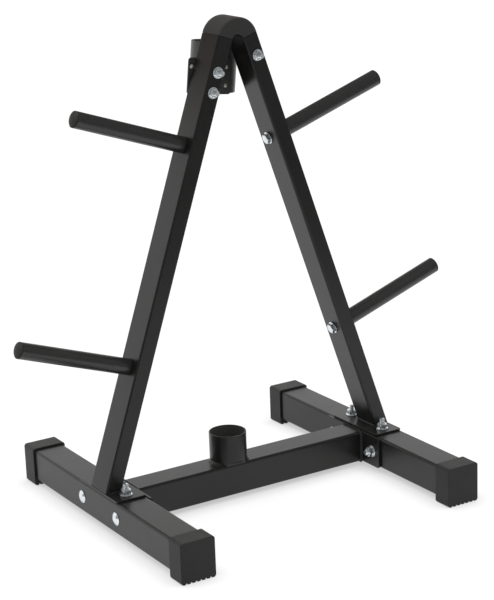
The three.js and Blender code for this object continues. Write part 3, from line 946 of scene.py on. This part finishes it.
@dataclass
class BarCup:
    """The open cup for the lower end of a bar, with its foot drawn in, and its two welds."""

    radius: float = 0.029
    wall: float = 0.002
    height: float = 0.047
    floor: float = 0.003
    offset: float = 0.0304
    lip: float = 0.0007
    draw: float = 0.0075
    draw_rows: int = 10
    edge: float = 0.0008
    segments: int = 96
    weld_spread: float = 44.0
    weld_points: int = 60
    level_limit: float = 1e-6
    down_limit: float = -0.5
    weld: Weld = Weld(size=0.0038, bulge=-0.0003, ripple=0.06)

    def build(self, base: float) -> None:
        """Makes the cup and the welds at its sides.

        Args:
            base: Height of the cross tube's upper side.
        """
        outer, inner, top = self.radius, self.radius - self.wall, self.height
        inset, drop = edge_arc(self.lip)
        rise = np.linspace(0.0, self.draw, self.draw_rows)
        high = rise[rise > self.floor][::-1]
        radius = [[0.0], np.full_like(rise, outer), outer - inset[::-1], inner + inset,
                  np.full_like(high, inner), [inner, 0.0]]
        height = [[0.0], rise, top - drop[::-1], top - drop, high, [self.floor, self.floor]]
        points = coords(np.concatenate(radius), np.concatenate(height))
        place = Place((-self.offset, 0, base))
        shell = Surface().turned(points, self.segments, closed=False)
        for points in shell.points:
            self.draw_in(points)
        cup = add_piece("bar_cup_shell", shell, POWDER_COAT, "bar_cup", place)
        # The cup's inside is painted lighter, as painted light in its hollow.
        self.paint_light_inside(cup.data)
        for name, side in SIDES:
            angle = np.radians(np.linspace(-self.weld_spread, self.weld_spread, self.weld_points))
            out = coords(side * np.cos(angle), np.sin(angle), 0.0)
            bead = self.weld.bead(place.point(out * outer), out, place.axes[:, 2], closed=False)
            add_piece(f"bar_cup_weld_{name}", bead, POWDER_COAT)

    def paint_light_inside(self, mesh: bpy.types.Mesh) -> None:
        """Paints the cup's inside with a lighter, rougher coat, as painted light in its hollow: the faces
        within the bore that look inward or up.

        Args:
            mesh: Mesh of the cup.
        """
        mesh.materials.append(CUP_INSIDE_PAINTED_LIGHT.material())
        middle, normal = np.empty((2, len(mesh.polygons), 3))
        for key, values in (("center", middle), ("normal", normal)):
            mesh.polygons.foreach_get(key, values.ravel())
        offset = middle[:, :2] - np.array([-self.offset, 0.0])
        inward = ((offset * normal[:, :2]).sum(1) < self.level_limit) & (normal[:, 2] > self.down_limit)
        inside = inward & (np.hypot(offset[:, 0], offset[:, 1]) < self.radius - self.wall)
        mesh.polygons.foreach_set("material_index", inside.astype(np.int32))

    def draw_in(self, points: Array) -> None:
        """Draws the cup's foot in to the width of the tube, as its weld does in front and behind.

        The limit of y grows from the tube's edge to the cup's radius by a smooth step of height / draw, and
        the inner wall keeps its distance inside it. The lowest row follows the tube's round corners.

        Args:
            points: Points of the cup, which are moved.
        """
        share = np.clip(points[:, 2] / self.draw, 0, 1)
        edge = PLAN.tube_size / 2 - self.edge
        limit = edge + (self.radius - edge) * share**2 * (3 - 2 * share)
        inside = np.hypot(points[:, 0], points[:, 1]) < self.radius - self.wall / 2
        limit = limit - np.where(inside & (points[:, 2] > 0), self.wall, 0.0)
        points[:, 1] = np.clip(points[:, 1], -limit, limit)
        corner = PLAN.tube_corner
        over = np.clip(np.abs(points[:, 1]) - (PLAN.tube_size / 2 - corner), 0, None)
        fall = corner - np.sqrt(corner**2 - np.minimum(over, corner) ** 2)
        points[:, 2] -= np.where(share == 0, fall, 0.0)


@dataclass
class CrossMember:
    """The cross tube with its welded flanges, their bolts, and the cup for the bar."""

    clamp: Clamp = Clamp("level", "cross", tip=0.0046, thread=0.018)
    weld: Weld = Weld(size=0.0026, bulge=0.0003)
    cup: BarCup = field(default_factory=BarCup)

    def build(self) -> None:
        """Makes the cross member's pieces."""
        middle = PLAN.rail_middle - PLAN.cross_drop
        add_piece("cross_member", square_tube(2 * PLAN.flange_x), POWDER_COAT, "cross_tube",
                  Place((0, 0, middle), turn("y", RIGHT_ANGLE)))
        for name, side in SIDES:
            self.flange(name, side, middle)
            turned = turn("y", -side * RIGHT_ANGLE)
            for end, sign in ENDS:
                outer = side * (PLAN.rail_x + PLAN.tube_size / 2)
                head = Place((outer, sign * PLAN.flange_bolt_y, PLAN.rail_middle), turned)
                self.clamp.build(f"{name}_{end}", head, PLAN.tube_size + PLAN.flange_thickness)
        self.cup.build(middle + PLAN.tube_size / 2)

    def flange(self, name: str, side: int, middle: float) -> None:
        """Makes one flange and the weld round the tube's end.

        Args:
            name: "left" or "right".
            side: -1 or 1.
            middle: Height of the cross tube's centre line.
        """
        plate = bolted_plate(PLAN.flange_bolt_y, 0.0, PLAN.flange_thickness)
        add_piece(f"flange_steel_{name}", plate, POWDER_COAT, f"flange_{name}",
                  Place((side * PLAN.flange_x, 0, PLAN.rail_middle), turn("y", side * RIGHT_ANGLE)))
        points, normals = rounded_box(PLAN.tube_size, PLAN.tube_size, PLAN.tube_corner)
        line = coords(side * PLAN.flange_x, points[:, 0], points[:, 1] + middle)
        out = coords(0.0, normals[:, 0], normals[:, 1])
        bead = self.weld.bead(line, out, np.array([-side, 0.0, 0.0]), closed=True)
        add_piece(f"flange_weld_{name}", bead, POWDER_COAT)


@dataclass
class Peg:
    """A storage peg: a round sleeve with a plug, held by a bolt from the leg's inner face."""

    radius: float = 0.0125
    wall: float = 0.002
    reach: float = 0.1885
    boss: float = 0.011
    foot_edge: float = 0.0006
    tip_edge: float = 0.0005
    tip_inner_edge: float = 0.0003
    boss_edge: float = 0.0002
    bolt_tip: float = 0.002
    thread: float = 0.014
    head: float = 0.005
    rim: float = 0.0015
    rim_edge: float = 0.0016
    rim_foot_edge: float = 0.0004
    stem: float = 0.014
    stem_edge: float = 0.0008
    crown_gap: float = 0.0002
    crown_foot: float = 0.0009
    segments: int = 96
    plug_segments: int = 72
    crown_rows: int = 14
    crown_share: float = 0.93

    def build(self, name: str, side: int, place: Place, height: float) -> None:
        """Makes one peg.

        Args:
            name: Level and side of the peg.
            side: -1 on the left leg, 1 on the right.
            place: The leg's frame.
            height: Height of the peg's axis along the leg.
        """
        along = turn("y", side * RIGHT_ANGLE)

        def at(distance: float) -> Place:
            """Gives the frame at a distance out from the leg's outer face."""
            return place.inner((side * distance, 0, height), along)

        gap, bore = PLAN.seat_gap, PLAN.bolt_radius + HARDWARE.hole_play
        length, inner = self.reach - self.head - 2 * gap, self.radius - self.wall
        corners = [(bore, 0, HARDWARE.hole_edge), (self.radius, 0, self.foot_edge),
                   (self.radius, length, self.tip_edge), (inner, length, self.tip_inner_edge),
                   (inner, self.boss, self.tip_edge), (bore, self.boss, self.boss_edge)]
        sleeve = Surface().turned(profile(corners), self.segments)
        # The sleeve takes the lighter peg coat, a painted sheen.
        add_piece(f"peg_sleeve_{name}", sleeve, PEG_COAT_PAINTED_SHEEN, f"peg_{name}", at(gap))
        plug = self.plug(inner - gap)
        add_piece(f"peg_end_{name}", plug, MOULDED_GREY, f"peg_plug_{name}", at(self.reach - self.head))
        washer_x = -PLAN.leg_thickness - gap - PLAN.washer_thickness
        add_piece(f"peg_ring_{name}", HARDWARE.washer(PLAN.washer_radius), ZINC, f"peg_washer_{name}",
                  at(washer_x))
        head_x = washer_x - gap
        bolt = HARDWARE.bolt(self.boss + gap + self.bolt_tip - head_x, self.thread, domed=False)
        add_piece(f"peg_screw_{name}", bolt, ZINC, f"peg_bolt_{name}", at(head_x))

    def plug(self, stem: float) -> Surface:
        """Gives the moulded plug: a stem for the sleeve and a domed head with a soft rim.

        The head's outline climbs round the rim as far as just above its height, and from there the dome
        goes on to the axis.

        Args:
            stem: Radius of the stem.

        Returns:
            The plug along Z, with its head above z = 0.
        """
        out, fall = cap_arc(self.radius, self.head - self.rim, self.crown_rows, self.crown_share)
        crown = coords(out, self.head - fall)[::-1]
        outline = profile([(stem, -self.stem, self.stem_edge), (stem, 0, 0.0),
                           (self.radius, 0, self.rim_foot_edge),
                           (self.radius, self.rim + 2 * self.crown_gap, self.rim_edge),
                           (0, self.rim + self.crown_foot, 0.0), (0, -self.stem, 0.0)], steps=5)
        low = outline[: int(np.argmax(outline[:, 1] > self.rim + self.crown_gap)) + 1]
        rest = crown[crown[:, 0] < low[-1, 0] - self.crown_gap]
        points = np.concatenate([[[0, -self.stem]], low[low[:, 0] > 0], rest])
        return Surface().turned(points, self.plug_segments, closed=False)


@dataclass
class Leg:
    """One leaning leg: its tube, two pegs, the foot weld and the bolts of the arch."""

    name: str
    side: int
    top_bolts: tuple[float, ...]
    plate_behind: float
    levels: tuple[tuple[str, float], ...]
    foot_rows: float = 0.001
    clamp: Clamp = Clamp("clamp", "top", tip=0.0046, thread=0.018, locking=True)
    peg: Peg = field(default_factory=Peg)
    weld: Weld = Weld(size=0.0015, bulge=0.0001)

    def build(self) -> None:
        """Makes the leg's pieces."""
        place = PLAN.leg_place(self.side)
        middle = -self.side * PLAN.leg_thickness / 2
        self.tube(place, middle)
        for level, height in self.levels:
            self.peg.build(f"{level}_{self.name}", self.side, place, height)
        behind = PLAN.leg_width / 2 + self.plate_behind + PLAN.seat_gap
        grip = behind + PLAN.leg_width / 2 + PLAN.seat_gap
        for index, drop in enumerate(self.top_bolts):
            label = f"{self.name}_{index + 1}" if len(self.top_bolts) > 1 else self.name
            head = place.inner((middle, behind, PLAN.leg_length - drop), turn("x", RIGHT_ANGLE))
            self.clamp.build(label, head, grip)

    def tube(self, place: Place, middle: float) -> None:
        """Makes the leg's tube, cut level with the floor at its foot, and the weld round that cut.

        Args:
            place: The leg's frame.
            middle: Where the tube's middle lies across that frame.
        """
        outer, inner = tube_sections(PLAN.leg_thickness, PLAN.leg_width, PLAN.leg_wall, PLAN.leg_corner)
        tube = pipe(outer, inner, 0.0, PLAN.leg_length - PLAN.seat_gap)
        slope = math.tan(-self.side * PLAN.lean)
        for points in tube.points:
            points[:, 0] += middle
            points[:, 2] += np.where(points[:, 2] < self.foot_rows, points[:, 0] * slope, 0.0)
        add_piece(f"leg_tube_{self.name}", tube, POWDER_COAT, f"leg_{self.name}", place)
        half = len(outer[0]) // 2
        start = 1 if self.side < 0 else 1 - half
        points, normals = (np.roll(part, start, 0)[:half + 2] for part in outer)
        across = points[:, 0] + middle
        line = place.point(coords(across, points[:, 1], across * slope))
        line[:, 2] = PLAN.base_top
        out = unit(coords(normals[:, 0] / math.cos(PLAN.lean), normals[:, 1], 0.0))
        bead = self.weld.bead(line, out, place.axes[:, 2], closed=False)
        add_piece(f"leg_weld_{self.name}", bead, POWDER_COAT)


@dataclass
class Arch:
    """The moulded arch that joins the leg tops, with a tongue in each leg."""

    tongue_edge: float = 0.020
    tongue_overlap: float = 0.001
    edge: float = 0.0004
    rows: int = 72

    def build(self, drops: dict[int, float]) -> None:
        """Carries the legs' section round a half ring, from one seam to the other.

        Args:
            drops: Distance of each leg's lowest clamp bolt from its top, by side.
        """
        surface = Surface()
        points, normals = rounded_box(PLAN.leg_thickness, PLAN.leg_width, PLAN.leg_corner)
        inset, run = edge_arc(self.edge)
        radius = PLAN.arch_radius - PLAN.leg_thickness / 2
        start, stop, edge = PLAN.lean, math.pi - PLAN.lean, run / radius
        between = np.linspace(start, stop, self.rows + 2)[1:-1]
        angles = np.concatenate([start + edge, between, stop - edge[::-1]])
        insets = np.concatenate([inset, np.zeros(self.rows), inset[::-1]])
        flat = points[None] - normals[None] * insets[:, None, None]
        distance = radius + flat[..., 0]
        surface.stack(coords(distance * np.cos(angles)[:, None], flat[..., 1],
                             PLAN.arch_z + distance * np.sin(angles)[:, None]))
        fit = 2 * (PLAN.leg_wall + PLAN.seat_gap)
        section = rounded_box(PLAN.leg_thickness - fit, PLAN.leg_width - fit,
                              PLAN.leg_corner - PLAN.leg_wall)
        for side, drop in drops.items():
            tongue = slab(section, PLAN.leg_length - (drop + self.tongue_edge),
                          PLAN.leg_length + self.tongue_overlap)
            surface.join(tongue, PLAN.leg_place(side).inner((-side * PLAN.leg_thickness / 2, 0, 0)))
        add_piece("arch_moulding", surface, MOULDED_ARCH, "arch_joint")


@dataclass
class BarSleeve:
    """The round sleeve for the bar on its plate behind the left leg."""

    lean: float = math.radians(6.5)
    plate_thickness: float = 0.003
    plate_corner: float = 0.0047
    radius: float = 0.035
    wall: float = 0.0025
    length: float = 0.074
    lift: float = 0.0011
    inner_edge: float = 0.0006
    outer_edge: float = 0.0007
    segments: int = 128
    column: float = 0.0597
    row: float = 0.0275
    left_edge: float = 0.0052
    right_edge: float = 0.0099
    end_edge: float = 0.0133
    standoff: float = 0.002
    rivet_radius: float = 0.00325
    rivet_height: float = 0.0017
    rivet_shank: float = 0.0018
    rivet_tail: float = 0.0011
    rivet_rows: int = 12
    rivet_segments: int = 40

    def build(self, drop: float) -> None:
        """Makes the plate, the sleeve and the rivets.

        Args:
            drop: Distance of the upper left clamp bolt from the leg's top.
        """
        corner = (-self.standoff, PLAN.leg_width / 2 + PLAN.seat_gap, PLAN.leg_length - drop)
        place = Place(tuple(PLAN.leg_place(-1).point(corner)), turn("y", self.lean))
        width = self.left_edge + self.column + self.right_edge
        section = rounded_box(width, self.row + 2 * self.end_edge, self.plate_corner)
        lay = turn("x", -RIGHT_ANGLE)
        middle = (width / 2 - self.left_edge, 0.0, -self.row / 2)
        # The plate takes the lighter coat, painted light against the leg's shade.
        add_piece("sleeve_plate", slab(section, 0.0, self.plate_thickness), PLATE_COAT_PAINTED_LIGHT, "holder_plate",
                  place.inner(middle, lay))
        inner, soft = self.radius - self.wall, self.outer_edge
        corners = [(inner, 0, self.inner_edge), (self.radius, 0, soft), (self.radius, self.length, soft),
                   (inner, self.length, self.inner_edge)]
        axis_y = self.plate_thickness + PLAN.seat_gap + self.radius
        foot = (self.column, axis_y, self.lift - self.row - self.end_edge)
        tube = Surface().turned(profile(corners), self.segments)
        add_piece("bar_sleeve", tube, SLEEVE_PAINT, "holder_tube", place.inner(foot))
        through = self.plate_thickness + self.wall + 2 * PLAN.seat_gap
        rivets = (("upper_left", 0.0, 0.0, self.plate_thickness), ("upper_right", self.column, 0.0, through),
                  ("lower_right", self.column, -self.row, through))
        for name, x, z, grip in rivets:
            add_piece(f"rivet_head_{name}", self.rivet(grip), RIVET, f"rivet_{name}",
                      place.inner((x, 0, z), lay))

    def rivet(self, grip: float) -> Surface:
        """Gives a rivet with a domed head in front and a set tail behind its grip."""
        out, fall = cap_arc(self.rivet_radius, self.rivet_height, self.rivet_rows)
        crown = coords(out, fall - self.rivet_height)
        shank, tail = self.rivet_shank, self.rivet_radius - self.rivet_height / 2
        rest = [[shank, 0], [shank, grip], [tail, grip], [tail, grip + self.rivet_tail / 2],
                [shank, grip + self.rivet_tail], [0, grip + self.rivet_tail]]
        return Surface().turned(np.concatenate([crown, rest]), self.rivet_segments, closed=False)


@dataclass
class PlateTree:
    """The whole plate tree."""

    left_bolts: tuple[float, float] = (0.0523, 0.0822)
    right_bolts: tuple[float] = (0.0327,)
    lower_rise: float = 0.190
    upper_drop: float = 0.166
    plate_behind: float = 0.0033

    def build(self) -> None:
        """Makes every sub-assembly in order."""
        levels = (("lower", self.lower_rise), ("upper", PLAN.leg_length - self.upper_drop))
        for name, side in SIDES:
            Foot(name, side).build()
        CrossMember().build()
        Leg("left", -1, self.left_bolts, self.plate_behind, levels).build()
        Leg("right", 1, self.right_bolts, 0.0, levels).build()
        Arch().build({-1: max(self.left_bolts), 1: max(self.right_bolts)})
        BarSleeve().build(min(self.left_bolts))


# Stage


@dataclass(frozen=True)
class Screen:
    """A cloth screen round the object, a part of a sphere that only gloss sees."""

    name: str
    azimuth: tuple[float, float]
    elevation: tuple[float, float]
    colour: Colour
    radius: float = 1.30
    columns: int = 49
    rows: int = 23

    def build(self) -> None:
        """Makes the screen from its two ranges of angles, in degrees, with azimuth 0 in front."""
        across = np.radians(np.linspace(*self.azimuth, self.columns))[:, None]
        rise = np.radians(np.linspace(*self.elevation, self.rows))[None]
        points = coords(np.cos(rise) * np.sin(across), -np.cos(rise) * np.cos(across), np.sin(rise))
        screen = into_scene(self.name, Surface().grid(points * self.radius).mesh(self.name))
        material = bpy.data.materials.new(self.name)
        graph = Graph.blank(material)
        matt = graph.add("BsdfDiffuse", {"Color": (*self.colour, 1.0)})
        graph.add("OutputMaterial", {"Surface": matt.outputs[0]})
        screen.data.materials.append(material)
        screen.visible_camera = screen.visible_diffuse = screen.visible_shadow = False


@dataclass(frozen=True)
class Lamp:
    """A broad lamp far away; azimuth is 0 in front and 90 on the right, and all angles are degrees."""

    name: str
    azimuth: float
    elevation: float
    strength: float
    width: float = 50.0

    def build(self) -> None:
        """Makes the lamp and turns it to the object."""
        lamp = bpy.data.lights.new(self.name, "SUN")
        lamp.energy = self.strength
        lamp.angle = math.radians(self.width)
        into_scene(self.name, lamp).matrix_world = (
            Matrix.Rotation(math.radians(self.azimuth), 4, "Z")
            @ Matrix.Rotation(RIGHT_ANGLE - math.radians(self.elevation), 4, "X"))


@dataclass
class Stage:
    """The floor, the plain light and the camera at the photograph's angle."""

    floor_size: float = 14.0
    floor_tone: float = 0.24
    floor_lift: float = 0.83
    painted_shadow_reach: float = 0.030
    painted_shadow_depth: float = 0.42
    painted_shadow_samples: int = 12
    ambient: float = 0.55
    lamps: tuple[Lamp, ...] = (
        Lamp("window_lamp", azimuth=-138.0, elevation=60.0, strength=0.9),
        Lamp("ceiling_lamp", azimuth=60.0, elevation=62.0, strength=0.7),
    )
    screens: tuple[Screen, ...] = (
        Screen("front_screen_low", (-105.0, 105.0), (0.0, 15.0), (0.50, 0.50, 0.50)),
        Screen("front_screen_high", (-105.0, 105.0), (15.0, 60.0), (0.95, 0.95, 0.95)),
        Screen("rear_screen", (105.0, 255.0), (37.0, 51.0), (0.98, 0.81, 0.71)),
        Screen("rear_screen_high", (105.0, 255.0), (51.0, 60.0), (0.55, 0.43, 0.37)),
        Screen("ceiling_screen", (-180.0, 180.0), (60.0, 90.0), (0.50, 0.50, 0.50)),
    )
    focal_px: float = 1819.783
    image_width: int = 494
    sensor: float = 36.0
    view_limit: float = 60.0
    camera_azimuth: float = -31.4454
    camera_elevation: float = 15.9438
    camera_roll: float = -2.0828
    camera_distance: float = 2.742109
    aim_height: float = 0.400
    aim_right: float = 0.014855
    aim_up: float = -0.087163

    def build(self) -> None:
        """Makes the floor, the world, the screens, the lamps and the camera."""
        self.make_floor()
        self.make_world()
        for part in (*self.screens, *self.lamps):
            part.build()
        self.make_camera()
        bpy.context.scene.view_settings.view_transform = "Standard"

    @staticmethod
    def seen(graph: Graph) -> Socket:
        """Gives 1 for rays from the camera and for rays that gloss or glass sends on, and 0 for the rest."""
        path = graph.add("LightPath").outputs
        glossy = graph.math("MAXIMUM", path["Is Glossy Ray"], path["Is Transmission Ray"])
        return graph.math("MAXIMUM", path["Is Camera Ray"], glossy)

    def make_floor(self) -> None:
        """Makes a wide floor that keeps the object's shadow and lifts to white where it is lit; near the
        object ambient occlusion dims that glow, a painted contact shadow.
        """
        edge = np.array([-self.floor_size, self.floor_size])
        floor = into_scene("floor", Surface().grid(coords(edge[:, None], edge, 0.0)).mesh("floor"))
        material = bpy.data.materials.new("floor_white")
        graph = Graph.blank(material)
        matt = graph.add("BsdfDiffuse", {"Color": (self.floor_tone,) * 3 + (1.0,)})
        # Painted contact shadow: ambient occlusion near the object dims the floor's glow.
        clear = graph.add("AmbientOcclusion", {"Distance": self.painted_shadow_reach},
                          samples=self.painted_shadow_samples).outputs["AO"]
        near = graph.math("MULTIPLY", graph.math("SUBTRACT", 1.0, clear), self.painted_shadow_depth)
        lift = graph.math("MULTIPLY", graph.math("SUBTRACT", 1.0, near), self.floor_lift)
        glow = graph.add("Emission", {"Strength": graph.math("MULTIPLY", self.seen(graph), lift)})
        both = graph.add("AddShader", {0: matt.outputs[0], 1: glow.outputs[0]})
        graph.add("OutputMaterial", {"Surface": both.outputs[0]})
        floor.data.materials.append(material)

    def make_world(self) -> None:
        """Makes a white surround for the camera and for gloss, and a plain even light for the rest."""
        world = bpy.data.worlds.new("surround")
        bpy.context.scene.world = world
        graph = Graph.blank(world)
        span = graph.math("MULTIPLY", self.seen(graph), 1.0 - self.ambient)
        strength = graph.math("ADD", span, self.ambient)
        light = graph.add("Background", {"Color": (1.0, 1.0, 1.0, 1.0), "Strength": strength})
        graph.add("OutputWorld", {"Surface": light.outputs[0]})

    def make_camera(self) -> None:
        """Makes the camera: it turns about a point above the origin, rolls, and moves its aim a little."""
        lens = bpy.data.cameras.new("camera")
        lens.sensor_fit = "HORIZONTAL"
        lens.sensor_width = self.sensor
        lens.lens = self.focal_px * self.sensor / self.image_width
        lens.clip_end = self.view_limit
        camera = into_scene("camera", lens)
        azimuth, elevation, roll = (math.radians(angle) for angle in
                                    (self.camera_azimuth, self.camera_elevation, self.camera_roll))
        axes = turn("z", azimuth) @ turn("x", RIGHT_ANGLE - elevation) @ turn("z", roll)
        away = np.array([self.aim_right, self.aim_up, self.camera_distance])
        place = axes @ away + np.array([0.0, 0.0, self.aim_height])
        camera.matrix_world = Matrix(np.vstack([np.column_stack([axes, place]), [0, 0, 0, 1]]).tolist())
        bpy.context.scene.camera = camera


def main() -> None:
    """Builds the tree and its stage."""
    logging.basicConfig(level=logging.INFO, format="%(name)s: %(message)s")
    PlateTree().build()
    Stage().build()


if __name__ == "__main__":
    main()
